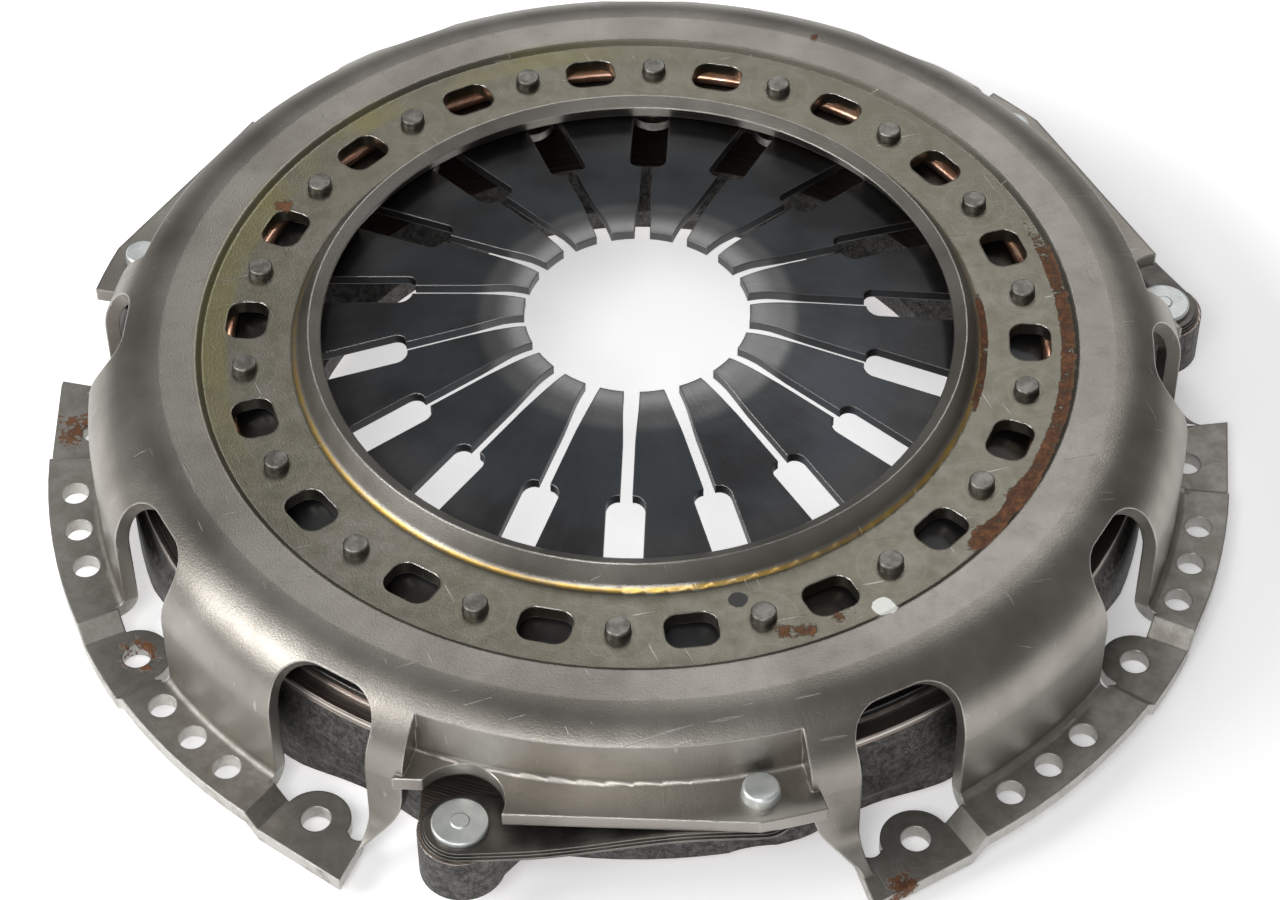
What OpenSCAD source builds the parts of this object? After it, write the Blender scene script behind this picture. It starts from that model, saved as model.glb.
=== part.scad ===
// Clutch pressure plate: pressed cover, diaphragm spring, cast plate and strap packs.
// Origin on the clutch axis in the flywheel mounting plane, +Z towards the release bearing.
// The clutch stands in its free state: fingers high, pressure plate fully out.

/* [Cover] */
// Diameter of the bolt circle of the low fixing lugs
bolt_pcd = 375; // [372:0.5:378]
// Thickness of the cover sheet
sheet_t = 5; // [4:0.1:5.4]
// Height of the flat land above the flywheel mounting plane
cover_h = 62; // [60:0.5:66]
// How far the bolt circle lies outside the cover wall
bolt_offset = 3.5; // [3:0.1:4.5]
// Radial width of the flange beyond the wall
flange_w = 17; // [16:0.5:18]
// Extra radial reach of the end lugs beside the pockets
end_lug_reach = 3; // [0:0.5:4]
// Step in height from a low lug up to a raised pad
pad_rise = 5; // [3:0.25:6]
// Length of the sloped run between lug and pad
ramp_run = 5; // [3:0.5:7]
// Inside radius of the bend at the foot of the wall
foot_bend_r = 2.5; // [1.5:0.25:3]
// Radius of the wide bend by which a pillar flares out into its end lug
pillar_bend_r = 13; // [10:0.5:15]
// Outer radius of the rolled shoulder
shoulder_r = 26; // [20:1:30]
// Height of the shoulder above the land
shoulder_rise = 1.6; // [0.5:0.1:3]
// Length of the slope from land to shoulder
shoulder_run = 2.2; // [1:0.1:4]
// Radial distance from rivet circle to the outer edge of the land
land_margin = 14; // [12:0.5:16]
// Radial distance from rivet circle in to the foot of the collar
collar_margin = 15; // [13:0.5:17]
// Height of the collar lip above the land
collar_rise = 7.8; // [5:0.2:10]
// Lean of the collar towards the axis, in degrees from upright
collar_lean = 30; // [15:1:40]
// Inside radius of the bend at the foot of the collar
collar_bend_r = 3; // [2:0.25:4]

/* [Holes in the cover] */
// Diameter of the fixing holes in the low lugs
bolt_hole_d = 9.5; // [8.4:0.1:10.5]
// Angle by which the middle lug leads its even position
mid_lug_lead = 1.9; // [0:0.1:2.5]
// Diameter of the holes in the raised pads
pad_hole_d = 9.1; // [8:0.1:9.6]
// Distance of the pad holes outside the cover wall
pad_hole_offset = 7.8; // [7.6:0.1:8.8]
// Angle between neighbouring pad holes
pad_hole_pitch = 5; // [4.5:0.1:5.5]
// Radius of the rounded tongue round a fixing hole
tongue_r = 11.2; // [10:0.2:13]
// Width of the windows in the wall
window_w = 36.5; // [34:0.5:38]
// Corner radius at the top of the wall windows
window_corner_r = 12; // [6:1:15]
// Distance of the top edge of a wall window in from the wall
window_top_in = 13; // [10:0.5:15]
// Length of the land windows along the circle
land_slot_l = 17; // [12:0.5:18]
// Width of the land windows across the circle
land_slot_w = 13.6; // [10:0.2:15]
// Corner radius of the land windows
land_slot_r = 5; // [3:0.25:6]

/* [Strap pockets] */
// Half angle of a strap pocket
pocket_half = 19.8; // [18.8:0.1:20.4]
// Angle by which a pocket lies off centre, towards its plate rivet
pocket_shift = 0.5; // [0:0.1:0.6]
// How far the back of a pocket lies inside the cover wall
pocket_depth = 11.5; // [10:0.25:12]
// Height of the pocket ledge below the land
ledge_drop = 20.4; // [18:0.2:23]
// Distance of the straight ledge edge outside the pocket back
ledge_w = 13; // [11.5:0.25:16]
// Radius of the bend between pocket back and ledge
ledge_bend_r = 1.6; // [1:0.1:3]
// Radial reach of the pad under the cover rivet, outside the wall
rivet_pad_reach = 7; // [5.5:0.25:8.5]
// Radius of the relief in the ledge over the plate rivet
ledge_relief_r = 14; // [13:0.25:15]

/* [Fulcrum] */
// Radius of the fulcrum rivet circle
rivet_circle_r = 130; // [128:0.5:132]
// Number of fulcrum rivets, land windows and fingers
finger_n = 18; // [18]
// Wire diameter of the fulcrum rings
wire_d = 4.2; // [3.4:0.1:4.8]
// Diameter of the rivet shank in the cover
rivet_d = 7.8; // [6:0.1:8.4]
// Diameter of the formed rivet head on the land
rivet_head_d = 8.4; // [8.2:0.1:10]
// Height of the formed rivet head
rivet_head_h = 3.3; // [2:0.1:4]
// Diameter of the rivet body below the cover
rivet_body_d = 9.4; // [9:0.1:9.8]
// Diameter of the broad rivet foot under the lower ring
rivet_foot_d = 17; // [16:0.25:19]
// Thickness of the broad rivet foot
rivet_foot_h = 3.4; // [2:0.1:4]

/* [Diaphragm spring] */
// Gap between the fingers and the foot of the collar above them
finger_gap = 0.6; // [0.3:0.1:1]
// Thickness of the diaphragm spring
spring_t = 3.4; // [2.8:0.1:4]
// Cone angle of the free spring in degrees
cone = 11.8; // [10:0.1:12.6]
// How far the spring rim lies inside the back of the pockets
rim_gap = 3; // [2:0.25:4]
// Radius of the opening between the finger tips
tip_r = 37.3; // [34:0.5:42]
// Radius where the finger tips start to curl over
curl_r = 47; // [46:0.5:52]
// Bend radius of the finger tips
tip_bend_r = 30; // [20:1:45]
// Width of the narrow slots between the fingers
slot_w = 3.9; // [2.5:0.1:4.5]
// Extra slot width at the finger tips
tip_relief = 1.2; // [0.4:0.1:2]
// Width of the broad outer part of the slots
eye_w = 12.6; // [11:0.2:13.5]
// Radius of the inner end of the broad part
eye_in_r = 76.5; // [70:0.5:90]
// Corner radius of the broad part
eye_corner_r = 4; // [2:0.25:5]

/* [Pressure plate] */
// Radius of the bore of the plate
bore_r = 116; // [110:1:118]
// How far the friction face stands below the mounting plane
face_proud = 1; // [0.2:0.1:2]
// Gap between plate rim and cover wall
plate_gap = 6.5; // [5.5:0.25:8]
// How far the friction face ends inside the plate rim
face_margin = 4; // [2:0.25:6]
// Thickness of the plate between bore and rib
plate_t = 20; // [16:0.5:22]
// Height of the turned band inside the bore
bore_band = 8; // [5:0.5:10]
// Radial width of the rib that carries the fulcrum bead
rib_w = 17; // [14:0.5:20]
// Distance of the fulcrum bead inside the spring rim
bead_in = 2.5; // [2:0.1:3.5]
// Radius of the fulcrum bead
bead_r = 2; // [1.5:0.1:2.5]
// Radial step between the upper and the lower plate rim
rim_step = 1.8; // [0.5:0.1:3]
// Height of the rim step above the friction face
rim_step_z = 30; // [29.6:0.2:33]

/* [Plate lugs and straps] */
// Angle of a plate lug before its pocket centre
lug_angle = 14.2; // [13.8:0.1:14.6]
// Distance of the plate rivet outside the cover wall
lug_offset = 2.8; // [2:0.1:3.5]
// Radius of the plate lugs
lug_r = 13.5; // [12.8:0.1:14]
// Height of the lug underside above the mounting plane
lug_foot_z = 9.4; // [8:0.2:12]
// Angle of a cover rivet after its pocket centre
anchor_angle = 14.5; // [14:0.1:15]
// Distance of the cover rivet inside the cover wall
anchor_in = 3.7; // [3:0.1:4.2]
// Thickness of one strap leaf
leaf_t = 0.8; // [0.6:0.05:1]
// Rise of a strap from plate lug to cover ledge
strap_rise = 6.6; // [6:0.1:7.5]
// End radius of the lowest strap leaf
leaf_end_r = 12.4; // [11.8:0.1:12.8]
// Setback of each leaf end behind the leaf below
leaf_setback = 0.6; // [0:0.1:0.8]
// Shank diameter of the plate rivets
plate_rivet_d = 9.8; // [8:0.2:11]
// Head diameter of the plate rivets
plate_head_d = 17.8; // [15:0.2:19]
// Head height of the plate rivets
plate_head_h = 1.8; // [1:0.1:2.5]
// Diameter of the raised centre of the plate rivet head
plate_dimple_d = 6; // [4:0.2:7]
// Shank diameter of the cover rivets
anchor_d = 7.8; // [6:0.2:9]
// Head diameter of the cover rivets
anchor_head_d = 12.3; // [11:0.1:13.5]
// Head height of the cover rivets
anchor_head_h = 4; // [2.5:0.1:5]
// Diameter of the formed rivet tails under lug and strap
tail_d = 14; // [12:0.2:15.5]
// Height of the formed rivet tails
tail_h = 3.2; // [2:0.1:4]

/* [Hidden] */
$fn = 96;

// Clearances
seat = 0.05;
hole_clear = 0.1;
body_clear = 0.3;
bite = 1;
weld = 0.02;

// Azimuths of the three strap pockets: front, right rear and left rear
front = -90;
right = 30;
left = 150;
thirds = [front, right, left];

// Cover
wall_r = bolt_pcd / 2 - bolt_offset;
flange_r = wall_r + flange_w;
pad_z = sheet_t + pad_rise;
shoulder_top = cover_h + shoulder_rise;
shoulder_c = [wall_r - shoulder_r, shoulder_top - shoulder_r];
land_r = rivet_circle_r + land_margin;
collar_r = rivet_circle_r - collar_margin;
collar_len = (collar_rise - collar_bend_r * (1 - sin(collar_lean))) / cos(collar_lean);
end_lug_angle = 30;
mid_lug_angle = 60 + mid_lug_lead;
first_pad_angle = 45;
second_pad_angle = 75;
window_half = asin(window_w / 2 / wall_r);
pad_from = window_half - 0.5;
ramp_angle = 2 * asin(ramp_run / 2 / wall_r);
low_half = pad_from - ramp_angle;
notch_r = (window_w / 2 - tongue_r) / 2;
window_lean = 60;
window_reach = 70;
window_top_drop = 3.4;
wall_foot = pad_z + foot_bend_r + bite;
pocket_r = wall_r - pocket_depth;
ledge_z = cover_h - ledge_drop;
gusset_angle = 2 * asin(sheet_t / 2 / wall_r);
rivet_pad_r = 10.5;
relief_cut_x = wall_r - 10.5;
tip_spread = 14;
pillar_sink = 0.3;
pillar_run = pillar_bend_r - sqrt(pillar_sink * (2 * pillar_bend_r + sheet_t));
pillar_inset = 0.4;
pillar_steps = 10;
pillar_top = ledge_z - sheet_t / 2;
tip_angle = pocket_half + 4.2;
tip_point = (flange_r + end_lug_reach) * [cos(tip_angle), sin(tip_angle)];
run_angle = end_lug_angle + window_half + 0.6;
run_point = (flange_r + 0.3) * [cos(run_angle), sin(run_angle)];

// Fulcrum and spring: upper ring, then spring, then lower ring along the cone's normal
wire_r = rivet_circle_r + rivet_body_d / 2 + hole_clear + wire_d / 2;
upper_wire = [wire_r, cover_h - sheet_t - wire_d / 2 - seat];
normal = [sin(cone), cos(cone)];
spring_mid = upper_wire - (wire_d / 2 + seat + spring_t / 2) * normal;
lower_drop = spring_t / 2 + seat + wire_d / 2;
lower_wire = [wire_r, spring_mid[1] - (wire_r - spring_mid[0]) * tan(cone) - lower_drop / cos(cone)];
spring_r = pocket_r - sheet_t - rim_gap;
eye_out_r = rivet_circle_r + rivet_body_d / 2 + body_clear;
foot_top = lower_wire[1] - wire_d / 2 - seat;
function spring_under(r) = spring_mid[1] - (r - spring_mid[0]) * tan(cone) - spring_t / 2 / cos(cone);
function spring_over(r) = spring_under(r) + spring_t / cos(cone);
coin_from = collar_r - 3 * sheet_t;
coin_to = wire_r - wire_d;

// Pressure plate
plate_r = wall_r - sheet_t - plate_gap;
upper_rim_r = plate_r - rim_step;
face_r = plate_r - face_margin;
face_z = -face_proud;
base_z = face_z + plate_t;
bead_circle_r = spring_r - bead_in;
bead_z = spring_under(bead_circle_r) - body_clear - bead_r / cos(cone);
rib_top = bead_z + bead_r / 2;
rib_in_r = upper_rim_r - rib_w;
rib_draft = 3;
bore_slope = 11;

// Straps and their rivets
strap_stack = 3 * leaf_t + 4 * seat;
strap_top = ledge_z - sheet_t;
lug_top = strap_top - strap_rise - strap_stack;
anchor_r = wall_r - anchor_in;
lug_pos_r = wall_r + lug_offset;
anchor_relief_r = tail_d / 2 + 4;
plate_cutback_r = pocket_r - sheet_t - 2;
plate_cutback_half = pocket_half + gusset_angle + 1.2;
lug_pos = lug_pos_r * [cos(-lug_angle), sin(-lug_angle)];
anchor_pos = anchor_r * [cos(anchor_angle), sin(anchor_angle)];
strap_run = norm(anchor_pos - lug_pos);
strap_turn = atan2(anchor_pos[1] - lug_pos[1], anchor_pos[0] - lug_pos[0]);
strap_flat = leaf_end_r + 3;
strap_steps = 12;
anchor_end_less = 1;

// Flat sector of a ring between two radii and two angles less than a half turn apart
module ring_sector(r_in, r_out, a0, a1) {
    far = 3 * r_out;
    mid = (a0 + a1) / 2;
    intersection() {
        difference() {
            circle(r = r_out);
            circle(r = r_in);
        }
        polygon([[0, 0], far * [cos(a0), sin(a0)], far * [cos(mid), sin(mid)], far * [cos(a1), sin(a1)]]);
    }
}

// Rectangle with round corners, centred on the origin
module round_rect(size, r) {
    square([size[0] - 2 * r, size[1]], center = true);
    square([size[0], size[1] - 2 * r], center = true);
    for (x = [-1, 1], y = [-1, 1])
        translate([x * (size[0] / 2 - r), y * (size[1] / 2 - r)]) circle(r = r);
}

// Section of the collar and land, coined along the fingers underneath
module collar_section() {
    difference() {
        union() {
            translate([collar_r, cover_h + collar_bend_r]) {
                ring_sector(collar_bend_r, collar_bend_r + sheet_t, 180 + collar_lean, 270);
                rotate(180 + collar_lean) translate([collar_bend_r + weld, -collar_len])
                    square([sheet_t - 2 * weld, collar_len + 10 * weld]);
            }
            translate([collar_r, cover_h - sheet_t]) square([land_r - collar_r, sheet_t]);
        }
        translate([0, finger_gap])
            polygon([[coin_from, spring_over(coin_from)], [coin_to, spring_over(coin_to)],
                [coin_from, spring_over(coin_to)]]);
    }
}

// Section of the collar, land, step, shoulder and upper wall
module crown_section() {
    collar_section();
    polygon([[land_r, cover_h - sheet_t], [land_r + shoulder_run, shoulder_top - sheet_t],
        [land_r + shoulder_run, shoulder_top], [land_r, cover_h]]);
    translate([land_r + shoulder_run, shoulder_top - sheet_t])
        square([shoulder_c[0] - land_r - shoulder_run, sheet_t]);
    translate(shoulder_c) ring_sector(shoulder_r - sheet_t, shoulder_r, 0, 90);
    translate([wall_r - sheet_t, wall_foot]) square([sheet_t, shoulder_c[1] - wall_foot]);
}

// Section of the foot bend and flange, for a flange whose top is at height top
module skirt_section(top) {
    translate([wall_r - sheet_t, top + foot_bend_r]) square([sheet_t, wall_foot + bite - top - foot_bend_r]);
    translate([wall_r + foot_bend_r, top + foot_bend_r])
        ring_sector(foot_bend_r, foot_bend_r + sheet_t, 180, 270);
    translate([wall_r + foot_bend_r, top - sheet_t]) square([flange_w - foot_bend_r, sheet_t]);
}

// Section of the foot of a pillar, which flares out to the end lug
module pillar_section() {
    intersection() {
        union() {
            translate([wall_r + pillar_bend_r, sheet_t + pillar_bend_r - pillar_sink])
                ring_sector(pillar_bend_r, pillar_bend_r + sheet_t, 180, 268);
            translate([wall_r + pillar_run, 0]) square([flange_w + end_lug_reach - pillar_run, sheet_t]);
            translate([wall_r - sheet_t, sheet_t + pillar_bend_r - pillar_sink])
                square([sheet_t, shoulder_c[1] - pillar_bend_r]);
        }
        translate([pocket_r, 0]) square([wall_r, shoulder_c[1] + bite]);
    }
}

// Section of the pocket back, its bend and the ledge
module pocket_section() {
    intersection() {
        translate([pocket_r - sheet_t, ledge_z + ledge_bend_r])
            square([sheet_t, shoulder_top - ledge_z - ledge_bend_r]);
        translate(shoulder_c) circle(r = shoulder_r - sheet_t / 2);
    }
    translate([pocket_r + ledge_bend_r, ledge_z + ledge_bend_r])
        ring_sector(ledge_bend_r, ledge_bend_r + sheet_t, 180, 270);
    translate([pocket_r + ledge_bend_r, ledge_z - sheet_t])
        square([wall_r + rivet_pad_reach - pocket_r - ledge_bend_r, sheet_t]);
}

// Section of the gusset that closes each end of a pocket
module gusset_section() {
    intersection() {
        translate([pocket_r - sheet_t / 2, ledge_z - sheet_t])
            square([pocket_depth, shoulder_top - ledge_z + sheet_t]);
        translate(shoulder_c) circle(r = shoulder_r - sheet_t / 2);
    }
}

// Turned sector between two angles measured from a pocket centre; side -1 mirrors them
module sector(pocket, side, from, to) {
    first = side > 0 ? from : -to;
    rotate_extrude(angle = to - from, start = pocket + first, $fn = 180) children();
}

// Copies of the children at the three pockets
module each_third() {
    for (a = thirds) rotate(a) children();
}

// Cutter for one wall window: square to the sheet at its top edge, straight down below; side is
// 1 or -1 where a flared pillar stands at the greater or the smaller angle
module window_cut(side) {
    intersection() {
        translate([wall_r - window_top_in, 0, shoulder_top - window_top_drop])
            rotate([0, 90 - window_lean, 0])
                translate([window_reach / 2, 0, -sheet_t])
                    linear_extrude(2 * window_reach, center = true)
                        round_rect([window_reach, window_w], window_corner_r);
        union() {
            cylinder(r = wall_r + foot_bend_r + bite, h = 2 * cover_h);
            if (side != 0) sector(0, side, 0, 2 * window_half)
                translate([wall_r, -bite]) square([2 * flange_w, 2 * pillar_bend_r]);
        }
    }
}

// Cutter that tapers the foot of a pillar down to the tip of the end lug
module pillar_cut() {
    rotate([90, 0, 90]) linear_extrude(2 * wall_r)
        polygon(concat([[-pocket_depth, -bite], [pillar_inset + tip_spread, -bite]],
            [for (k = [0:pillar_steps]) let (u = k / pillar_steps)
                [pillar_inset + tip_spread * pow(1 - u, 3), sheet_t + u * (pillar_top - sheet_t)]],
            [[-pocket_depth, pillar_top]]));
}

// Formed shell before lugs and pockets are added
module shell() {
    difference() {
        union() {
            rotate_extrude($fn = 180) crown_section();
            for (p = thirds) {
                for (side = [-1, 1])
                    sector(p, side, pocket_half - 1, end_lug_angle - window_half / 2) pillar_section();
                sector(p, 1, end_lug_angle + pad_from, mid_lug_angle - pad_from) skirt_section(pad_z);
                sector(p, 1, mid_lug_angle + pad_from, 90 - pad_from) skirt_section(pad_z);
            }
        }
        for (p = thirds)
            sector(p - pocket_shift, 1, -pocket_half, pocket_half)
                translate([pocket_r, -bite]) square([wall_r, 2 * cover_h]);
        each_third() {
            rotate(mid_lug_angle) window_cut(0);
            for (side = [-1, 1]) rotate(side * end_lug_angle) window_cut(-side);
        }
    }
}

// Strap pocket: recessed back with a ledge below it and a gusset at each end
module strap_pocket(pocket) {
    difference() {
        union() {
            sector(pocket - pocket_shift, 1, -pocket_half - gusset_angle / 2, pocket_half + gusset_angle / 2)
                pocket_section();
            for (side = [-1, 1])
                sector(pocket - pocket_shift, side, pocket_half + gusset_angle / 8, pocket_half + gusset_angle)
                    gusset_section();
        }
        rotate(pocket) translate([0, 0, ledge_z - 2 * sheet_t]) linear_extrude(3 * sheet_t) {
            translate(lug_pos) circle(r = ledge_relief_r);
            translate([relief_cut_x, -wall_r]) square([wall_r, wall_r + lug_pos[1]]);
            difference() {
                translate([pocket_r + ledge_w, -wall_r]) square([wall_r, 2 * wall_r]);
                translate(anchor_pos) circle(r = rivet_pad_r);
                translate([pocket_r, anchor_pos[1]]) square([wall_r, pocket_r]);
            }
        }
    }
}

// Low lug: flange strip with a tongue reaching in under the wall window
module low_lug(pocket, angle, from, to, reach) {
    difference() {
        union() {
            sector(pocket, 1, angle + from, angle + to)
                translate([wall_r + foot_bend_r + hole_clear, 0]) square([reach, sheet_t]);
            intersection() {
                sector(pocket, 1, angle - window_half, angle + window_half)
                    translate([bolt_pcd / 2 - 2 * tongue_r, 0]) square([3 * tongue_r, sheet_t]);
                rotate(pocket + angle) translate([bolt_pcd / 2, 0, -bite])
                    cylinder(r = tongue_r, h = sheet_t + 2 * bite);
            }
        }
        rotate(pocket + angle) for (side = [-1, 1])
            translate([wall_r, side * (tongue_r + notch_r - bite / 4), -bite])
                cylinder(r = notch_r, h = sheet_t + 2 * bite);
    }
}

// Sloped run of the flange; side is 1 where the pad lies at the greater angle
module ramp(pocket, angle, side) {
    reach = ramp_run / 2 + bite;
    climb = pad_rise / ramp_run * reach;
    intersection() {
        rotate(pocket + angle) rotate([90, 0, 90]) linear_extrude(2 * wall_r)
            translate([0, pad_rise / 2]) polygon([[-side * reach, -climb], [side * reach, climb],
                [side * reach, climb + sheet_t], [-side * reach, sheet_t - climb]]);
        sector(pocket, 1, angle - window_half, angle + window_half)
            translate([wall_r + foot_bend_r + hole_clear, 0]) square([flange_w - foot_bend_r - hole_clear, pad_z]);
    }
}

// All flange pieces of one third that stand at or climb from the low level
module low_flange(pocket) {
    for (side = [-1, 1]) {
        low_lug(pocket, side * end_lug_angle, side > 0 ? -window_half - 0.7 : -low_half,
            side > 0 ? low_half : window_half + 0.7, flange_w - foot_bend_r - hole_clear + end_lug_reach);
        ramp(pocket, side * (end_lug_angle + low_half + ramp_angle / 2), side);
    }
    low_lug(pocket, mid_lug_angle, -low_half, low_half, flange_w - foot_bend_r - hole_clear);
    ramp(pocket, mid_lug_angle - low_half - ramp_angle / 2, -1);
    ramp(pocket, mid_lug_angle + low_half + ramp_angle / 2, 1);
}

// Bolt, pad and strap rivet holes and the sheared outer edges of one third
module flange_cuts() {
    translate([0, 0, -bite]) linear_extrude(pad_z + 2 * bite) {
        for (a = [first_pad_angle, second_pad_angle], k = [-1, 0, 1])
            rotate(a + k * pad_hole_pitch) translate([wall_r + pad_hole_offset, 0]) circle(d = pad_hole_d);
        for (a = [-end_lug_angle, end_lug_angle, mid_lug_angle])
            rotate(a) translate([bolt_pcd / 2, 0]) circle(d = bolt_hole_d);
        for (m = [0, 1]) mirror([0, m]) polygon([tip_point, run_point, 2 * run_point, 2 * tip_point]);
    }
    rotate(anchor_angle) translate([anchor_r, 0, 0]) cylinder(d = anchor_d + 2 * hole_clear, h = cover_h);
}

module cover() color([0.55, 0.54, 0.51]) {
    difference() {
        union() {
            difference() {
                union() {
                    shell();
                    for (p = thirds) low_flange(p);
                }
                each_third() for (m = [0, 1]) rotate(-pocket_shift) mirror([0, m, 0])
                    rotate(pocket_half) pillar_cut();
            }
            for (p = thirds) strap_pocket(p);
        }
        each_third() flange_cuts();
        for (k = [0:finger_n - 1]) rotate(front + k * 360 / finger_n) {
            translate([rivet_circle_r, 0, 0]) cylinder(d = rivet_d + 2 * hole_clear, h = 2 * cover_h);
            rotate(180 / finger_n) translate([rivet_circle_r, 0, 0]) linear_extrude(2 * cover_h)
                round_rect([land_slot_w, land_slot_l], land_slot_r);
        }
    }
}

module upper_fulcrum_ring() color([0.75, 0.45, 0.32])
    rotate_extrude($fn = 180) translate(upper_wire) circle(d = wire_d);

module lower_fulcrum_ring() color([0.75, 0.45, 0.32])
    rotate_extrude($fn = 180) translate(lower_wire) circle(d = wire_d);

// Section of the diaphragm spring: cone, then the curled finger tip
module spring_section() {
    inner_run = (spring_mid[0] - curl_r) / cos(cone);
    outer_run = (spring_r - spring_mid[0]) / cos(cone);
    translate(spring_mid) rotate(-cone) {
        translate([-inner_run, -spring_t / 2]) square([inner_run + outer_run, spring_t]);
        translate([-inner_run, -tip_bend_r])
            ring_sector(tip_bend_r - spring_t / 2, tip_bend_r + spring_t / 2, 90, 125);
    }
}

module diaphragm_spring() color([0.08, 0.08, 0.09])
    difference() {
        rotate_extrude($fn = 180) spring_section();
        cylinder(r = tip_r, h = 2 * cover_h);
        for (k = [0:finger_n - 1]) rotate(front + k * 360 / finger_n) linear_extrude(2 * cover_h) {
            translate([0, -slot_w / 2]) square([eye_in_r + bite, slot_w]);
            translate([(eye_in_r + eye_out_r) / 2, 0])
                round_rect([eye_out_r - eye_in_r, eye_w], eye_corner_r);
            polygon([[0, -(slot_w + tip_relief) / 2], [curl_r - 3, -(slot_w + tip_relief) / 2],
                [curl_r + 9, -slot_w / 2], [curl_r + 9, slot_w / 2],
                [curl_r - 3, (slot_w + tip_relief) / 2], [0, (slot_w + tip_relief) / 2]]);
        }
    }

module fulcrum_rivets() color([0.42, 0.42, 0.40])
    for (k = [0:finger_n - 1]) rotate(front + k * 360 / finger_n) translate([rivet_circle_r, 0, 0]) {
        translate([0, 0, foot_top - rivet_foot_h]) cylinder(d = rivet_foot_d, h = rivet_foot_h);
        translate([0, 0, foot_top]) cylinder(d = rivet_body_d, h = cover_h - sheet_t - foot_top);
        translate([0, 0, foot_top]) cylinder(d = rivet_d, h = cover_h - foot_top);
        translate([0, 0, cover_h]) cylinder(d1 = rivet_head_d, d2 = rivet_head_d - 0.4, h = rivet_head_h - 0.5);
        translate([0, 0, cover_h + rivet_head_h - 0.5])
            cylinder(d1 = rivet_head_d - 0.4, d2 = rivet_head_d - 1.2, h = 0.5);
    }

// Section of the cast plate: base ring, rib and fulcrum bead
module plate_section() {
    polygon([[bore_r, face_z], [face_r, face_z], [plate_r, face_z + face_margin],
        [plate_r, face_z + rim_step_z], [upper_rim_r, face_z + rim_step_z + 2 * rim_step],
        [upper_rim_r, rib_top], [rib_in_r, rib_top - rib_draft],
        [rib_in_r - rib_draft, base_z], [bore_r + bore_slope, base_z], [bore_r, face_z + bore_band]]);
    translate([bead_circle_r, bead_z]) circle(r = bead_r);
}

// Plan of a plate lug with its flared root
module plate_lug_outline() {
    root_r = face_r - 4;
    rotate(-lug_angle) {
        translate([lug_pos_r, 0]) circle(r = lug_r);
        polygon([[root_r, -1.55 * lug_r], [plate_r - 1, -1.3 * lug_r], [lug_pos_r, -lug_r],
            [lug_pos_r, lug_r], [plate_r - 1, 1.5 * lug_r], [root_r, 2.2 * lug_r]]);
    }
}

module pressure_plate() color([0.20, 0.20, 0.20])
    difference() {
        union() {
            rotate_extrude($fn = 180) plate_section();
            each_third() translate([0, 0, lug_foot_z]) linear_extrude(lug_top - lug_foot_z) plate_lug_outline();
        }
        each_third() {
            translate([0, 0, lug_top]) linear_extrude(cover_h)
                ring_sector(plate_cutback_r, 2 * wall_r, -plate_cutback_half, plate_cutback_half);
            rotate(-lug_angle) translate([lug_pos_r, 0, 0])
                cylinder(d = plate_rivet_d + 2 * hole_clear, h = 2 * cover_h, center = true);
            rotate(anchor_angle) translate([anchor_r, 0, 0]) cylinder(r = anchor_relief_r, h = cover_h, center = true);
        }
    }

// Share of the strap rise reached at a share u of its free length
function ease(u) = u * u * (3 - 2 * u);

// Side view of a leaf along the strap, from its lower face at height z
module leaf_side(z) {
    span = strap_run - 2 * strap_flat;
    line = [for (k = [0:strap_steps]) let (u = k / strap_steps) [strap_flat + u * span, z + strap_rise * ease(u)]];
    low = concat([[-2 * leaf_end_r, z]], line, [[strap_run + 2 * leaf_end_r, z + strap_rise]]);
    polygon(concat(low, [for (k = [len(low) - 1:-1:0]) low[k] + [0, leaf_t]]));
}

// Plan of a leaf with round ends and two rivet holes
module leaf_plan(level) {
    near_r = leaf_end_r - level * leaf_setback;
    far_r = near_r - anchor_end_less;
    difference() {
        union() {
            circle(r = near_r);
            translate([strap_run, 0]) circle(r = far_r);
            polygon([[0, -near_r], [strap_run, -far_r], [strap_run, far_r], [0, near_r]]);
        }
        circle(d = plate_rivet_d + 2 * hole_clear);
        translate([strap_run, 0]) circle(d = anchor_d + 2 * hole_clear);
    }
}

module strap_leaf(pocket, level) color([0.30, 0.29, 0.27])
    rotate(pocket) translate(lug_pos) rotate(strap_turn) intersection() {
        rotate([90, 0, 0]) linear_extrude(4 * leaf_end_r, center = true)
            leaf_side(lug_top + seat + level * (leaf_t + seat));
        linear_extrude(cover_h) leaf_plan(level);
    }

module plate_rivet(pocket) color([0.72, 0.76, 0.76])
    rotate(pocket) translate(lug_pos) {
        translate([0, 0, lug_foot_z - tail_h]) cylinder(d1 = tail_d - 2, d2 = tail_d, h = tail_h);
        translate([0, 0, lug_foot_z]) cylinder(d = plate_rivet_d, h = lug_top + strap_stack - lug_foot_z);
        translate([0, 0, lug_top + strap_stack]) {
            cylinder(d = plate_head_d, h = plate_head_h - 0.4);
            translate([0, 0, plate_head_h - 0.4]) cylinder(d1 = plate_head_d, d2 = plate_head_d - 0.8, h = 0.4);
            translate([0, 0, plate_head_h]) cylinder(d1 = plate_dimple_d, d2 = plate_dimple_d - 0.6, h = 0.4);
        }
    }

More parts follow.
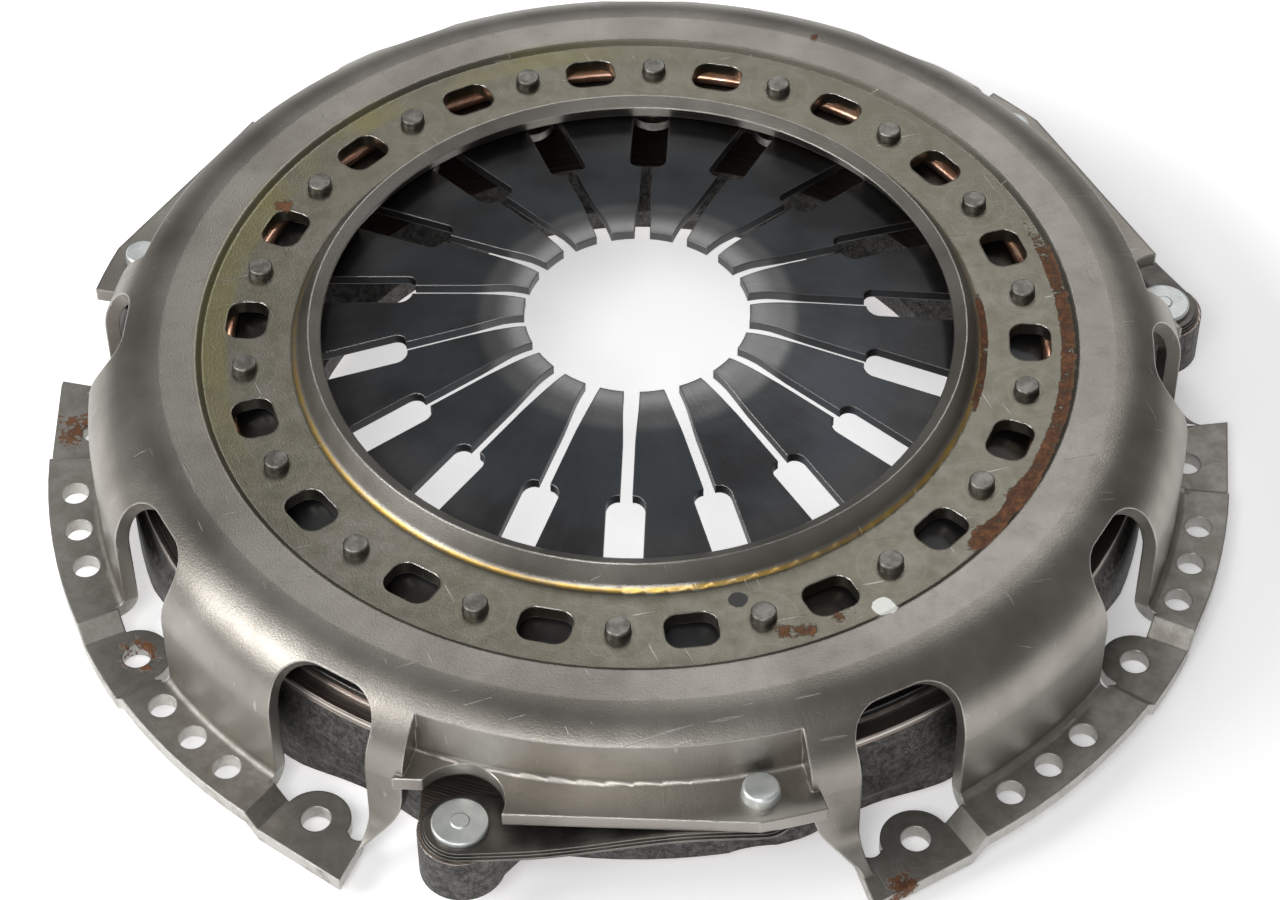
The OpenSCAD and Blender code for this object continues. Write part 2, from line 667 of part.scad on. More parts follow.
module cover_rivet(pocket) color([0.72, 0.76, 0.76])
    rotate(pocket) translate(anchor_pos) {
        translate([0, 0, strap_top - strap_stack - tail_h]) cylinder(d1 = tail_d - 2, d2 = tail_d, h = tail_h);
        translate([0, 0, strap_top - strap_stack]) cylinder(d = anchor_d, h = sheet_t + strap_stack);
        translate([0, 0, ledge_z]) {
            cylinder(d1 = anchor_head_d, d2 = anchor_head_d - 0.8, h = anchor_head_h - 0.6);
            translate([0, 0, anchor_head_h - 0.6])
                cylinder(d1 = anchor_head_d - 0.8, d2 = anchor_head_d - 2, h = 0.6);
        }
    }

cover();
upper_fulcrum_ring();
diaphragm_spring();
lower_fulcrum_ring();
fulcrum_rivets();
pressure_plate();
strap_leaf(front, 0);  // front_strap_lower_leaf
strap_leaf(front, 1);  // front_strap_middle_leaf
strap_leaf(front, 2);  // front_strap_upper_leaf
strap_leaf(right, 0);  // right_strap_lower_leaf
strap_leaf(right, 1);  // right_strap_middle_leaf
strap_leaf(right, 2);  // right_strap_upper_leaf
strap_leaf(left, 0);  // left_strap_lower_leaf
strap_leaf(left, 1);  // left_strap_middle_leaf
strap_leaf(left, 2);  // left_strap_upper_leaf
plate_rivet(front);  // front_plate_rivet
plate_rivet(right);  // right_plate_rivet
plate_rivet(left);  // left_plate_rivet
cover_rivet(front);  // front_cover_rivet
cover_rivet(right);  // right_cover_rivet
cover_rivet(left);  // left_cover_rivet
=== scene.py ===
import math

import bmesh
import bpy
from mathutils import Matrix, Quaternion, Vector


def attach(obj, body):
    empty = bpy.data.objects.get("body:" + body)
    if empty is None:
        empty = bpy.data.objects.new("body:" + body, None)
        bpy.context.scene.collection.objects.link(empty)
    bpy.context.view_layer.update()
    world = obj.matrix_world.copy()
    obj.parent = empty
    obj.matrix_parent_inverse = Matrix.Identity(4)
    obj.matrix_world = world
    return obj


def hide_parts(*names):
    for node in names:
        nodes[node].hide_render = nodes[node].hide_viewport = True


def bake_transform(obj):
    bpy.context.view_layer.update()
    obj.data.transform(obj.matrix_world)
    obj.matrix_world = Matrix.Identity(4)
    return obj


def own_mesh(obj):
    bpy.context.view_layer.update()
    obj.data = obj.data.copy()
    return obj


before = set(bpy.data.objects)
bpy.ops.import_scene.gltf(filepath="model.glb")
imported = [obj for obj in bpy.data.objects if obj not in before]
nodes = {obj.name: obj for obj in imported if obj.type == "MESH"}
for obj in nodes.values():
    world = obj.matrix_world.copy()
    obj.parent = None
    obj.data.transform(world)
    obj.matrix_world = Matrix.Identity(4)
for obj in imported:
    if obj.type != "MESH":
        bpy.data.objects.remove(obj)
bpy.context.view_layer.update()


# Cover. The one large pressing of 5 mm steel sheet that carries everything else; its edges are
# sheared or pierced, then tumbled. Bare oiled steel, burnished where the drawing tool dragged,
# with an olive film on the land, a gold line of dried oil in the groove brightened toward the front
# by a painted reflection, and some rust.

LAND_IN, LAND_OUT, LAND_Z = 0.1145, 0.1450, 0.0555
GROOVE_IN, GROOVE_OUT, GROOVE_FOOT, GROOVE_BRIM = 0.1133, 0.1141, 0.0605, 0.0640
STEP_IN, STEP_OUT, STEP_Z = 0.1408, 0.1440, 0.0610
COLLAR_IN, COLLAR_OUT, STAIN_IN = 0.1138, 0.1156, 0.1375
FLANGE_Z = 0.0115
STEEL_ROUND, STEEL_RELIEF = 0.0009, 0.00020
RIVETS, RIVET_R = 18, 0.130
RIVET_RINGS = [(0.0106, 0.0110, 0.0004), (0.0060, 0.0063, 0.0003)]

# Where the rust, the paint and the marker sit, each with its reach
RUST_SPOTS = [(0.0511, -0.1278, 0.063, 0.007), (0.0588, -0.1267, 0.063, 0.006),
              (0.0673, -0.1212, 0.063, 0.005), (-0.1582, -0.0984, 0.005, 0.016),
              (-0.1943, 0.0007, 0.010, 0.022), (0.0576, 0.1496, 0.062, 0.007),
              (0.0904, -0.1800, 0.005, 0.014), (-0.1246, 0.0549, 0.063, 0.009),
              (0.1245, -0.0676, 0.063, 0.010), (0.1131, -0.0850, 0.063, 0.010)]
PAINT_DAB = (0.0814, -0.1167, 0.0636, 0.008)
MARKER_TOUCH = (0.0364, -0.1155, 0.062, 0.005)

STEEL_DARK, STEEL_LIGHT = (0.255, 0.238, 0.212), (0.375, 0.355, 0.322)
DRAWN_STREAK, HANDLED = (0.20, 0.19, 0.175), (0.185, 0.172, 0.155)
OLIVE_FILM, TOOL_RING = (0.150, 0.140, 0.108), (0.34, 0.33, 0.29)
SCRATCHED, SHEARED, TUMBLED_EDGE = (0.56, 0.54, 0.51), (0.55, 0.54, 0.51), (0.60, 0.585, 0.55)
FLANGE_DARK, FLANGE_LIGHT = (0.30, 0.285, 0.255), (0.41, 0.395, 0.365)
OIL_GOLD_AND_REFLECTION, OIL_STAIN = (0.56, 0.37, 0.10), (0.235, 0.215, 0.085)
RUST_DARK, RUST_LIGHT = (0.075, 0.032, 0.016), (0.205, 0.088, 0.036)
PALE_PAINT, MARKER_BLACK = (0.78, 0.78, 0.74), (0.012, 0.012, 0.012)


class Value:
    """A number on its way through a finish; Python maths on it adds Math nodes."""

    def __init__(self, finish, socket):
        self.finish, self.socket = finish, socket

    def maths(self, operation, *inputs):
        return self.finish.node("ShaderNodeMath", {"operation": operation}, *inputs)

    def __add__(self, other):
        return self.maths("ADD", self, other)

    def __radd__(self, other):
        return self.maths("ADD", other, self)

    def __sub__(self, other):
        return self.maths("SUBTRACT", self, other)

    def __rsub__(self, other):
        return self.maths("SUBTRACT", other, self)

    def __mul__(self, other):
        return self.maths("MULTIPLY", self, other)

    def __rmul__(self, other):
        return self.maths("MULTIPLY", other, self)

    def __truediv__(self, other):
        return self.maths("DIVIDE", self, other)

    def __pow__(self, other):
        return self.maths("POWER", self, other)

    def sine(self):
        return self.maths("SINE", self)

    def above(self, other):
        return self.maths("MAXIMUM", self, other)

    def below(self, other):
        return self.maths("MINIMUM", self, other)

    def rise(self, low, high):
        """0 up to low, 1 from high on, smooth between; high may lie below low."""
        if low > high:
            return 1 - self.rise(high, low)
        return self.finish.node("ShaderNodeMapRange", {"interpolation_type": "SMOOTHSTEP"},
                                self, low, high, 0.0, 1.0)

    def band(self, low, high, soft):
        """1 from low to high, fading over soft on both sides."""
        return self.rise(low - soft, low) * self.rise(high + soft, high)


class Finish:
    """A finish being mixed from nodes; x, y, z and r are the place on the part, and across
    and along its direction from the axis."""

    def __init__(self, name, metallic, roughness):
        self.material = bpy.data.materials.new(name)
        self.material.use_nodes = True
        self.tree = self.material.node_tree
        self.shader = self.tree.nodes["Principled BSDF"]
        self.shader.inputs["Metallic"].default_value = metallic
        self.shader.inputs["Roughness"].default_value = roughness
        self.place = self.node("ShaderNodeTexCoord", {}, out="Object")
        self.x, self.y, self.z = (
            self.node("ShaderNodeSeparateXYZ", {}, self.place, out=axis) for axis in "XYZ")
        self.r = (self.x * self.x + self.y * self.y) ** 0.5
        self.across, self.along = self.x / self.r, self.y / self.r

    def node(self, kind, settings, *inputs, out=0, **named):
        made = self.tree.nodes.new(kind)
        for key, value in settings.items():
            setattr(made, key, value)
        for key, value in [*enumerate(inputs), *named.items()]:
            self.feed(made.inputs[key.replace("_", " ") if isinstance(key, str) else key], value)
        return Value(self, made.outputs[out])

    def feed(self, socket, value):
        if isinstance(value, Value):
            self.tree.links.new(value.socket, socket)
        elif isinstance(value, tuple) and len(value) == 3 and socket.type == "RGBA":
            socket.default_value = (*value, 1.0)
        else:
            socket.default_value = value

    def mix(self, amount, low, high):
        made = self.tree.nodes.new("ShaderNodeMix")
        made.data_type = "RGBA"
        # Sockets 0, 6 and 7 are the factor and the two colours, and output 2 is the mixed colour
        for index, value in ((0, amount), (6, low), (7, high)):
            self.feed(made.inputs[index], value)
        return Value(self, made.outputs[2])

    def vector(self, x, y, z):
        return self.node("ShaderNodeCombineXYZ", {}, x, y, z)

    def noise(self, where, scale, detail=3.0, rough=0.55):
        """Uneven tone from 0 to 1, with about this many waves in each metre."""
        return self.node("ShaderNodeTexNoise", {}, Vector=where, Scale=scale, Detail=detail,
                         Roughness=rough)

    def spot(self, x, y, z, reach):
        """1 at a point, falling to 0 at reach from it."""
        gap = self.node("ShaderNodeVectorMath", {"operation": "DISTANCE"}, self.place, (x, y, z),
                        out="Value")
        return (1 - gap / reach).above(0.0)

    def toward(self, degrees):
        """1 on the side of the part that faces this way round the axis, -1 opposite."""
        turn = math.radians(degrees)
        return self.across * math.cos(turn) + self.along * math.sin(turn)

    def facing_up(self):
        """The height part of the surface direction: 1 on level tops, 0 on upright walls."""
        direction = self.node("ShaderNodeTexCoord", {}, out="Normal")
        return self.node("ShaderNodeSeparateXYZ", {}, direction, out="Z")

    def edges(self, radius):
        """The direction of a surface with edges rounded so far, and 1 on those edges."""
        soft = self.node("ShaderNodeBevel", {"samples": 6}, Radius=radius)
        flat = self.node("ShaderNodeNewGeometry", {}, out="Normal")
        turn = self.node("ShaderNodeVectorMath", {"operation": "DOT_PRODUCT"}, soft, flat,
                         out="Value")
        return soft, turn.rise(0.995, 0.90)

    def coat(self, colour, roughness, metallic=None):
        self.feed(self.shader.inputs["Base Color"], colour)
        self.feed(self.shader.inputs["Roughness"], roughness)
        if metallic is not None:
            self.feed(self.shader.inputs["Metallic"], metallic)

    def relief(self, height, distance, under):
        """Fine grain, this deep in metres, on top of the rounded surface."""
        bump = self.node("ShaderNodeBump", {}, Strength=1.0, Distance=distance, Height=height,
                         Normal=under, out="Normal")
        self.feed(self.shader.inputs["Normal"], bump)


def cover_steel():
    steel = Finish("cover_steel", 1.0, 0.4)
    x, y, z, r = steel.x, steel.y, steel.z, steel.r
    cloud = steel.noise(steel.place, 18.0, 4.0)
    mottle = steel.noise(steel.place, 130.0, 5.0, 0.7)
    grain = steel.noise(steel.place, 1400.0, 2.0)
    drawn = steel.vector(steel.across * 110.0, steel.along * 110.0, z * 26.0)
    streaks = steel.noise(drawn, 1.0, 4.0, 0.7)
    colour = steel.mix(cloud.rise(0.35, 0.65), STEEL_DARK, STEEL_LIGHT)
    colour = steel.mix(streaks.rise(0.50, 0.80) * 0.16, colour, DRAWN_STREAK)
    colour = steel.mix(mottle.rise(0.52, 0.72) * 0.22, colour, HANDLED)

    # The land keeps an olive film of old oil, thinner where it has been wiped
    raised = z.rise(LAND_Z, LAND_Z + 0.001)
    land = r.band(LAND_IN, LAND_OUT, 0.0012) * raised
    film = land * (0.74 + 0.22 * mottle.rise(0.3, 0.7) - 0.22 * cloud.rise(0.5, 0.8))
    colour = steel.mix(film, colour, OLIVE_FILM)

    # Faint rings that the riveting tool pressed round each head, counted from the rivet at the front
    turn = y.maths("ARCTAN2", y, x) * (RIVETS / math.tau) + RIVETS / 4
    aside = turn.maths("WRAP", turn, 0.5, -0.5) * (math.tau / RIVETS * RIVET_R)
    gap = (aside * aside + (r - RIVET_R) * (r - RIVET_R)) ** 0.5
    outer_ring, inner_ring = (gap.band(*ring) for ring in RIVET_RINGS)
    colour = steel.mix((outer_ring + inner_ring) * land * 0.09, colour, TOOL_RING)

    # Hair scratches from handling, in two directions
    first = steel.noise(steel.vector(x * 40.0 + y * 13.0, y * 620.0 - x * 200.0, z * 90.0), 1.0, 2.0)
    second = steel.noise(steel.vector(x * 560.0 + y * 280.0, y * 38.0 - x * 17.0, z * 90.0), 1.0, 2.0)
    scratch = first.rise(0.71, 0.74) + second.rise(0.72, 0.75)
    colour = steel.mix(scratch * 0.45, colour, SCRATCHED)

    # The flange is duller and mottled, and its sheared rims show pale torn metal
    facing = steel.facing_up()
    low = z.rise(FLANGE_Z + 0.0015, FLANGE_Z) * facing.rise(0.3, 0.7)
    dull = steel.mix(mottle.rise(0.35, 0.65), FLANGE_LIGHT, FLANGE_DARK)
    colour = steel.mix(low * 0.8, colour, dull)
    rim = (facing * facing).rise(0.20, 0.05) * z.rise(FLANGE_Z + 0.0003, FLANGE_Z - 0.0009)
    torn = rim * mottle.rise(0.30, 0.55)
    colour = steel.mix(torn * 0.8, colour, SHEARED)

    soft, edge = steel.edges(STEEL_ROUND)
    colour = steel.mix(edge * mottle.rise(0.2, 0.6) * 0.8, colour, TUMBLED_EDGE)

    # Dried oil in the groove at the foot of the collar, with a painted reflection that puts it mostly
    # at the front, and a stain at the back left of the land
    gold = r.band(GROOVE_IN, GROOVE_OUT, 0.0006) * z.band(GROOVE_FOOT, GROOVE_BRIM, 0.0006)
    # The gold is partly dried oil and partly a painted reflection, weighted toward the front
    gold = gold * steel.toward(-85).rise(-0.55, 0.45) * (0.50 + 0.45 * mottle.rise(0.35, 0.6))
    colour = steel.mix(gold, colour, OIL_GOLD_AND_REFLECTION)
    stain = r.band(STAIN_IN, LAND_OUT, 0.0030) * raised * steel.toward(150).rise(0.35, 0.85)
    colour = steel.mix(stain * cloud.rise(0.35, 0.6) * 0.6, colour, OIL_STAIN)

    # Rust along the step on the right, at the collar there, and in spots
    on_step = r.band(STEP_IN, STEP_OUT, 0.0024) * z.rise(STEP_Z, STEP_Z + 0.0008)
    rust = on_step * steel.toward(-8).rise(0.78, 0.92) * 0.92
    at_collar = r.band(COLLAR_IN, COLLAR_OUT, 0.0012)
    rust = rust + at_collar * steel.toward(-3).rise(0.95, 0.985) * 0.9
    for spot in RUST_SPOTS:
        rust = rust + steel.spot(*spot) * 1.1
    speck = steel.noise(steel.place, 330.0, 5.0, 0.75)
    rust = (rust.below(1.0) * 0.62 + speck - 0.92).rise(0.0, 0.10)
    colour = steel.mix(rust, colour, steel.mix(speck.rise(0.4, 0.7), RUST_DARK, RUST_LIGHT))

    # A dab of pale paint at the step and a black touch of marker on the land
    paint = (steel.spot(*PAINT_DAB) + mottle * 0.5 - 0.72).rise(0.0, 0.05)
    mark = (steel.spot(*MARKER_TOUCH) + mottle * 0.5 - 0.62).rise(0.0, 0.05)
    colour = steel.mix(paint, colour, PALE_PAINT)
    colour = steel.mix(mark, colour, MARKER_BLACK)

    worn = 0.28 + cloud * 0.14 + mottle * 0.12 - edge * 0.10
    roughness = worn - film * 0.05 + rust * 0.4 + low * 0.14
    covered = (rust + paint + mark).below(1.0)
    steel.coat(colour, roughness, (1 - covered * 0.9) * (1 - torn * 0.5))
    steel.relief(grain * 0.30 + streaks * 0.15 + rust * speck + scratch * -0.2, STEEL_RELIEF, soft)
    return steel.material


def dress(name, material):
    slots = nodes[name].data.materials
    slots.clear()
    slots.append(material)


dress("cover", cover_steel())


# Upper fulcrum ring. Spring wire bent round the whole circle between the land and the spring,
# copper plated against rust; the plating shows bright in the land windows.

WIRE_RELIEF = 0.0001
COPPER_DARK, COPPER_LIGHT, WIRE_SOIL = (0.62, 0.33, 0.22), (0.86, 0.56, 0.42), (0.16, 0.10, 0.07)


def coppered_wire():
    wire = Finish("coppered_wire", 1.0, 0.28)
    rub = wire.noise(wire.vector(wire.across * 30.0, wire.along * 30.0, wire.z * 900.0), 1.0, 4.0)
    soil = wire.noise(wire.place, 90.0, 4.0)
    colour = wire.mix(rub.rise(0.35, 0.7), COPPER_DARK, COPPER_LIGHT)
    colour = wire.mix(soil.rise(0.55, 0.75) * 0.7, colour, WIRE_SOIL)
    wire.coat(colour, 0.22 + soil * 0.2)
    wire.relief(rub, WIRE_RELIEF, wire.node("ShaderNodeNewGeometry", {}, out="Normal"))
    return wire.material


copper = coppered_wire()
dress("upper_fulcrum_ring", copper)


# Diaphragm spring. One cone of spring steel with eighteen fingers, blanked, slotted, curled at
# the tips, then oil hardened; the oxide is black with a blue sheen and browner by the eyes.

BLUE_IN, BLUE_OUT, EYES_IN, EYES_OUT = 0.056, 0.082, 0.112, 0.140
TIPS_IN, TIPS_OUT = 0.0390, 0.0500
SPRING_ROUND, SPRING_RELIEF = 0.0007, 0.00012
OXIDE_DARK, OXIDE_LIGHT = (0.062, 0.062, 0.064), (0.105, 0.106, 0.109)
BLUE_SHEEN, BROWN_SHEEN = (0.070, 0.090, 0.108), (0.085, 0.065, 0.052)
POLISHED_TIP, SPRING_EDGE, SPRING_SPECK = (0.24, 0.24, 0.235), (0.30, 0.29, 0.28), (0.30, 0.29, 0.27)


def hardened_spring():
    oxide = Finish("hardened_spring", 1.0, 0.35)
    cloud = oxide.noise(oxide.place, 26.0, 4.0)
    speck = oxide.noise(oxide.place, 420.0, 4.0, 0.7)
    spread = oxide.vector(oxide.across * 75.0, oxide.along * 75.0, oxide.r * 14.0)
    radial = oxide.noise(spread, 1.0, 4.0)
    colour = oxide.mix(cloud.rise(0.35, 0.65), OXIDE_DARK, OXIDE_LIGHT)
    blue = oxide.r.band(BLUE_IN, BLUE_OUT, 0.012) * cloud.rise(0.30, 0.60)
    colour = oxide.mix(blue * 0.45, colour, BLUE_SHEEN)
    brown = oxide.r.band(EYES_IN, EYES_OUT, 0.010) * (1 - cloud.rise(0.3, 0.6))
    colour = oxide.mix(brown * 0.6, colour, BROWN_SHEEN)
    tips = oxide.r.band(TIPS_IN, TIPS_OUT, 0.0045)
    colour = oxide.mix(tips * (0.35 + 0.4 * cloud), colour, POLISHED_TIP)
    soft, edge = oxide.edges(SPRING_ROUND)
    colour = oxide.mix(edge * 0.8, colour, SPRING_EDGE)
    colour = oxide.mix(speck.rise(0.70, 0.78) * 0.5, colour, SPRING_SPECK)
    oxide.coat(colour, 0.30 + cloud * 0.14 + radial * 0.10 - tips * 0.05)
    oxide.relief(speck * 0.4 + radial * 0.3, SPRING_RELIEF, soft)
    return oxide.material


# Corners closer than the gap are one corner, and faces that meet more sharply stay crisp
WELD_GAP, CREASE = 0.000001, math.radians(30)


def blank(name):
    """The shape of a solid with its loose triangles joined, ready to be worked."""
    shape = bmesh.new()
    shape.from_mesh(nodes[name].data)
    bmesh.ops.remove_doubles(shape, verts=shape.verts, dist=WELD_GAP)
    return shape


def finished(name, shape, material):
    """The worked shape as a piece in place of the solid, smooth with crisp edges."""
    bmesh.ops.recalc_face_normals(shape, faces=shape.faces)
    mesh = bpy.data.meshes.new(f"{name}_shown")
    shape.to_mesh(mesh)
    shape.free()
    if mesh.has_custom_normals:
        mesh.attributes.remove(mesh.attributes["custom_normal"])
    mesh.shade_smooth()
    mesh.set_sharp_from_angle(angle=CREASE)
    mesh.materials.append(material)
    piece = bpy.data.objects.new(f"{name}_shown", mesh)
    bpy.context.scene.collection.objects.link(piece)
    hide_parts(name)
    return piece


spring = finished("diaphragm_spring", blank("diaphragm_spring"), hardened_spring())
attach(spring, "cover_assembly")
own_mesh(spring)


# Lower fulcrum ring. The same coppered wire as the upper ring, laid under the spring and held up
# by the broad feet of the rivets, so that the spring tips between the two rings.
dress("lower_fulcrum_ring", copper)


# Fulcrum rivets. Eighteen cold headed rivets through the land and the slots of the spring, left
# bare and as oily as the land; their broad feet hold the lower ring.

RIVET_ROUND, RIVET_RELIEF = 0.0006, 0.00015
RIVET_SOIL, RIVET_STEEL, RIVET_EDGE = (0.13, 0.125, 0.11), (0.30, 0.29, 0.265), (0.45, 0.44, 0.41)


def bare_rivet():
    bare = Finish("bare_rivet", 1.0, 0.4)
    soil = bare.noise(bare.place, 240.0, 4.0)
    colour = bare.mix(soil.rise(0.35, 0.7), RIVET_SOIL, RIVET_STEEL)
    soft, edge = bare.edges(RIVET_ROUND)
    bare.coat(bare.mix(edge * 0.6, colour, RIVET_EDGE), 0.34 + soil * 0.2)
    bare.relief(soil, RIVET_RELIEF, soft)
    return bare.material


dress("fulcrum_rivets", bare_rivet())


# Pressure plate. A grey iron casting; the sides stay as cast and rough, and the friction face,
# the rib and the lug seats are turned, which leaves fine rings and a warm pinkish grey.

PLATE_R, TURNED_Z = 0.1725, 0.0388
SHINE_FOOT, SHINE_TOP, LATHE_WAVES = TURNED_Z + 0.0018, TURNED_Z + 0.0026, 5200.0
IRON_ROUND, IRON_RELIEF = 0.0008, 0.0006
SKIN_DARK, SKIN_LIGHT, PAINTED_SAND_GLINT = (0.045, 0.043, 0.042), (0.165, 0.158, 0.150), (0.62, 0.60, 0.57)
TURNED_DARK, TURNED_LIGHT = (0.30, 0.25, 0.22), (0.44, 0.375, 0.335)
PAINTED_RIM_HIGHLIGHT, IRON_EDGE = (0.85, 0.82, 0.78), (0.42, 0.38, 0.35)


def cast_iron():
    iron = Finish("cast_iron", 1.0, 0.6)
    facing = iron.facing_up()
    cast = iron.noise(iron.place, 420.0, 6.0, 0.75)
    sand = iron.noise(iron.place, 95.0, 4.0)
    skin = iron.mix(cast.rise(0.35, 0.7), SKIN_DARK, SKIN_LIGHT)
    # Pale specks on the skin are a painted glint of sand grains catching the light
    painted_glint_noise = iron.noise(iron.place, 1900.0, 6.0, 0.8)
    skin = iron.mix(painted_glint_noise.rise(0.56, 0.64) * sand.rise(0.40, 0.65) * 0.7, skin, PAINTED_SAND_GLINT)

    # Level faces and the rim of the rib are turned, and the rim carries one painted highlight line
    rim = iron.z.rise(TURNED_Z, TURNED_Z + 0.0004) * iron.r.rise(PLATE_R + 0.0006, PLATE_R + 0.0003)
    machined = (facing * facing).rise(0.90, 0.97).above(rim)
    rings = (iron.r * LATHE_WAVES).sine() * 0.5 + 0.5
    tone = iron.noise(iron.vector(iron.r * 900.0, iron.across * 3.0, iron.along * 3.0), 1.0, 3.0)
    turned = iron.mix(tone.rise(0.3, 0.7), TURNED_DARK, TURNED_LIGHT)
    colour = iron.mix(machined, skin, turned)
    # The bright line on the rim is a painted highlight
    colour = iron.mix(rim * iron.z.band(SHINE_FOOT, SHINE_TOP, 0.0003), colour, PAINTED_RIM_HIGHLIGHT)

    soft, edge = iron.edges(IRON_ROUND)
    colour = iron.mix(edge * (0.12 + 0.5 * machined), colour, IRON_EDGE)
    iron.coat(colour, 0.50 - machined * 0.17 + cast * 0.12)
    rough = (1 - machined) * (cast * 0.5 + sand) * 0.8
    iron.relief(rough + machined * rings * 0.10, IRON_RELIEF, soft)
    return iron.material


# The foot of the cast wall is drawn in beside each flange bolt; turns and half width in degrees
BOLT_TURNS = [turn + third for third in (30, 150, 270) for turn in (-28.1, 28.1, 61.9)]
WALL_R, WALL_TOP, SCALLOP_TOP, SCALLOP_FOOT = 0.1660, 0.0185, 0.0160, 0.0060
SCALLOP_DEPTH, SCALLOP_HALF, WALL_ROWS, WALL_CUTS = 0.0042, 9.5, 8, 120


def cast_wall(shape):
    """The parts of the plate's cast wall, to be cut or drawn in."""
    faces = [face for face in shape.faces if face.calc_center_median().z < WALL_TOP
             and face.calc_center_median().xy.length > WALL_R]
    return list({part for face in faces for part in (*face.verts, *face.edges)}) + faces


plate = blank("pressure_plate")
for row in range(1, WALL_ROWS):
    bmesh.ops.bisect_plane(plate, geom=cast_wall(plate), dist=WELD_GAP, plane_no=(0, 0, 1),
                           plane_co=(0, 0, WALL_TOP * row / WALL_ROWS))
for cut in range(WALL_CUTS):
    turn = math.pi * cut / WALL_CUTS
    bmesh.ops.bisect_plane(plate, geom=cast_wall(plate), dist=WELD_GAP, plane_co=(0, 0, 0),
                           plane_no=(math.sin(turn), -math.cos(turn), 0))
for vert in plate.verts:
    turn = math.degrees(math.atan2(vert.co.y, vert.co.x))
    swing = min(abs((turn - bolt + 180) % 360 - 180) for bolt in BOLT_TURNS) / SCALLOP_HALF
    rise = min(1.0, max(0.0, (SCALLOP_TOP - vert.co.z) / (SCALLOP_TOP - SCALLOP_FOOT)))
    if swing < 1 and vert.co.xy.length > WALL_R:
        depth = SCALLOP_DEPTH * (1 - swing * swing) ** 2 * rise * rise * (3 - 2 * rise)
        vert.co.xy *= 1 - depth / vert.co.xy.length
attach(finished("pressure_plate", plate, cast_iron()), "plate_assembly")


# Strap leaves. Three packs of three leaves, blanked from thin spring strip and blued; the pack
# pulls the plate back and turns it with the cover.

STRIP_ROUND, STRIP_RELIEF = 0.0003, 0.00008
STRIP_DARK, STRIP_LIGHT, STRIP_EDGE = (0.10, 0.094, 0.086), (0.19, 0.18, 0.165), (0.42, 0.41, 0.38)


def blued_strip():
    strip = Finish("blued_strip", 1.0, 0.4)
    cloud = strip.noise(strip.place, 60.0, 4.0)
    speck = strip.noise(strip.place, 700.0, 3.0)
    colour = strip.mix(cloud.rise(0.35, 0.65), STRIP_DARK, STRIP_LIGHT)
    soft, edge = strip.edges(STRIP_ROUND)
    colour = strip.mix(edge * 0.7, colour, STRIP_EDGE)
    strip.coat(colour, 0.36 + cloud * 0.15)
    strip.relief(speck, STRIP_RELIEF, soft)
    return strip.material


# Each pack is riveted to the plate at one end and to the cover at the other, and bends between; here
# each leaf keeps its rest shape
SIDES = ("front", "right", "left")


strap_finish = blued_strip()
for side in SIDES:
    for place in ("lower", "middle", "upper"):
        name = f"{side}_strap_{place}_leaf"
        leaf = finished(name, blank(name), strap_finish)
        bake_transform(leaf)


# Strap rivets. Six rivets, zinc plated: a broad flat head with a raised centre on each lug of
# the plate, and a turned head on each ledge of the cover.

ZINC_ROUND, ZINC_RELIEF = 0.0006, 0.00015
ZINC_DARK, ZINC_LIGHT = (0.60, 0.635, 0.63), (0.76, 0.79, 0.78)
ZINC_PIT, ZINC_EDGE = (0.24, 0.24, 0.23), (0.80, 0.82, 0.81)


def zinc_plate():
    zinc = Finish("zinc_plate", 0.75, 0.34)
    cloud = zinc.noise(zinc.place, 150.0, 4.0)
    pits = zinc.noise(zinc.place, 900.0, 4.0, 0.7)
    colour = zinc.mix(cloud.rise(0.3, 0.7), ZINC_DARK, ZINC_LIGHT)
    colour = zinc.mix(pits.rise(0.66, 0.76) * 0.6, colour, ZINC_PIT)
    soft, edge = zinc.edges(ZINC_ROUND)
    zinc.coat(zinc.mix(edge * 0.5, colour, ZINC_EDGE), 0.28 + cloud * 0.22)
    zinc.relief(pits * 0.6 + cloud, ZINC_RELIEF, soft)
    return zinc.material


zinc_finish = zinc_plate()
for side in SIDES:
    dress(f"{side}_plate_rivet", zinc_finish)
    dress(f"{side}_cover_rivet", zinc_finish)


# Floor, light and camera. A pale paper sweep with a soft painted shadow near the part, under four
# soft boxes, seen from where the photograph was taken.

FLOOR_SIZE, FLOOR_Z = 8.0, -0.0045
SHADE_IN, SHADE_OUT, SHADE_FADE = 0.13, 0.235, 0.07
PAPER, PAPER_GLOW, PAINTED_FLOOR_SHADOW = (0.92, 0.92, 0.92), (1.0, 1.0, 1.0), (0.25, 0.25, 0.26)
GLOW_STRENGTH, PAPER_SHINE = 0.66, 0.1
AIR, AIR_STRENGTH = (1.0, 0.99, 0.98), 0.18
AIM = (0, 0, 0.03)
FOCAL_LENGTH, SENSOR, ROLL = 98.81, 36.0, math.radians(-0.485)
STAND, TARGET = Vector((0.0425, -0.8186, 0.8908)), Vector((0.0033, -0.0537, 0.062))

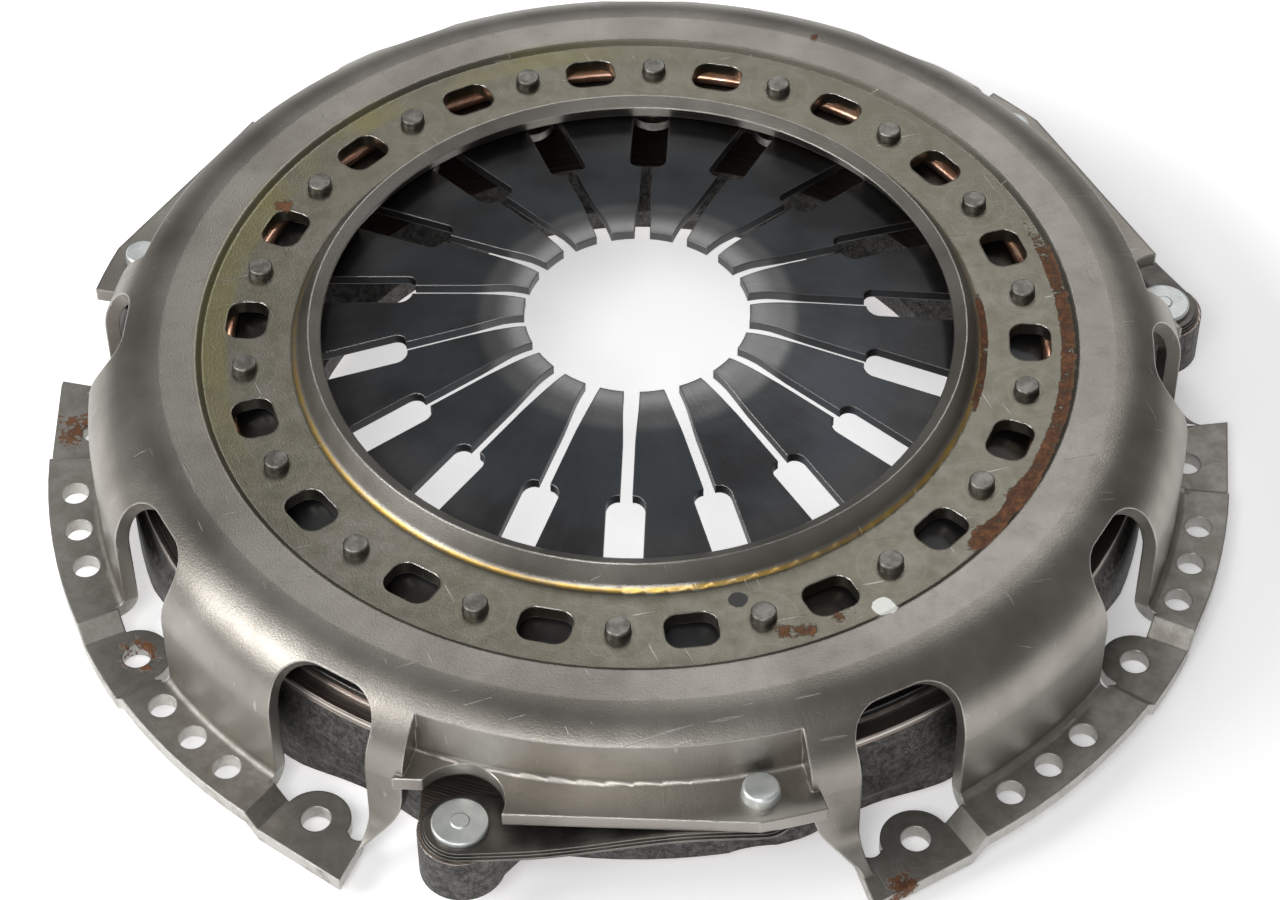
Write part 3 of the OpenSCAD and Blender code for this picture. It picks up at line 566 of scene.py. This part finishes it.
bpy.ops.mesh.primitive_plane_add(size=FLOOR_SIZE, location=(0.0, 0.0, FLOOR_Z))
floor = bpy.context.object
floor.name = "studio_floor"
paper = Finish("studio_paper", 0.0, 0.9)
# The darker ring round the part, deeper toward the front right, is a painted shadow in the floor's
# glow
side_shade = 0.40 + 0.60 * paper.toward(-40).rise(-0.5, 0.6)
shade = paper.r.band(SHADE_IN, SHADE_OUT, SHADE_FADE) * side_shade
paper.feed(paper.shader.inputs["Emission Color"], paper.mix(shade * 0.62, PAPER_GLOW, PAINTED_FLOOR_SHADOW))
paper.shader.inputs["Emission Strength"].default_value = GLOW_STRENGTH
paper.shader.inputs["Base Color"].default_value = (*PAPER, 1.0)
paper.shader.inputs["Specular IOR Level"].default_value = PAPER_SHINE
floor.data.materials.append(paper.material)

sky = bpy.data.worlds.new("studio_air")
sky.use_nodes = True
air = sky.node_tree.nodes["Background"]
air.inputs["Color"].default_value = (*AIR, 1.0)
air.inputs["Strength"].default_value = AIR_STRENGTH
bpy.context.scene.world = sky


def soft_box(name, place, width, power):
    """A square lamp, width in metres and power in watts, turned to the middle of the part."""
    light = bpy.data.lights.new(name, "AREA")
    light.size, light.energy = width, power
    box = bpy.data.objects.new(name, light)
    bpy.context.scene.collection.objects.link(box)
    box.location = place
    box.rotation_euler = (Vector(AIM) - Vector(place)).to_track_quat("-Z", "Y").to_euler()


soft_box("left_box", (-1.08, -0.42, 0.82), 0.7, 11.5)
soft_box("rear_box", (-0.05, 1.05, 1.20), 0.5, 2.5)
soft_box("finger_box", (0.42, 0.90, 1.25), 0.3, 1.5)
soft_box("front_box", (-0.22, -1.10, 1.22), 0.5, 9.5)

lens = bpy.data.cameras.new("photo_lens")
lens.lens, lens.sensor_width = FOCAL_LENGTH, SENSOR
camera = bpy.data.objects.new("photo_camera", lens)
bpy.context.scene.collection.objects.link(camera)
camera.location = STAND
upright = (TARGET - STAND).to_track_quat("-Z", "Y")
camera.rotation_euler = (upright @ Quaternion((0, 0, 1), ROLL)).to_euler()
bpy.context.scene.camera = camera
bpy.context.scene.view_settings.view_transform = "Standard"
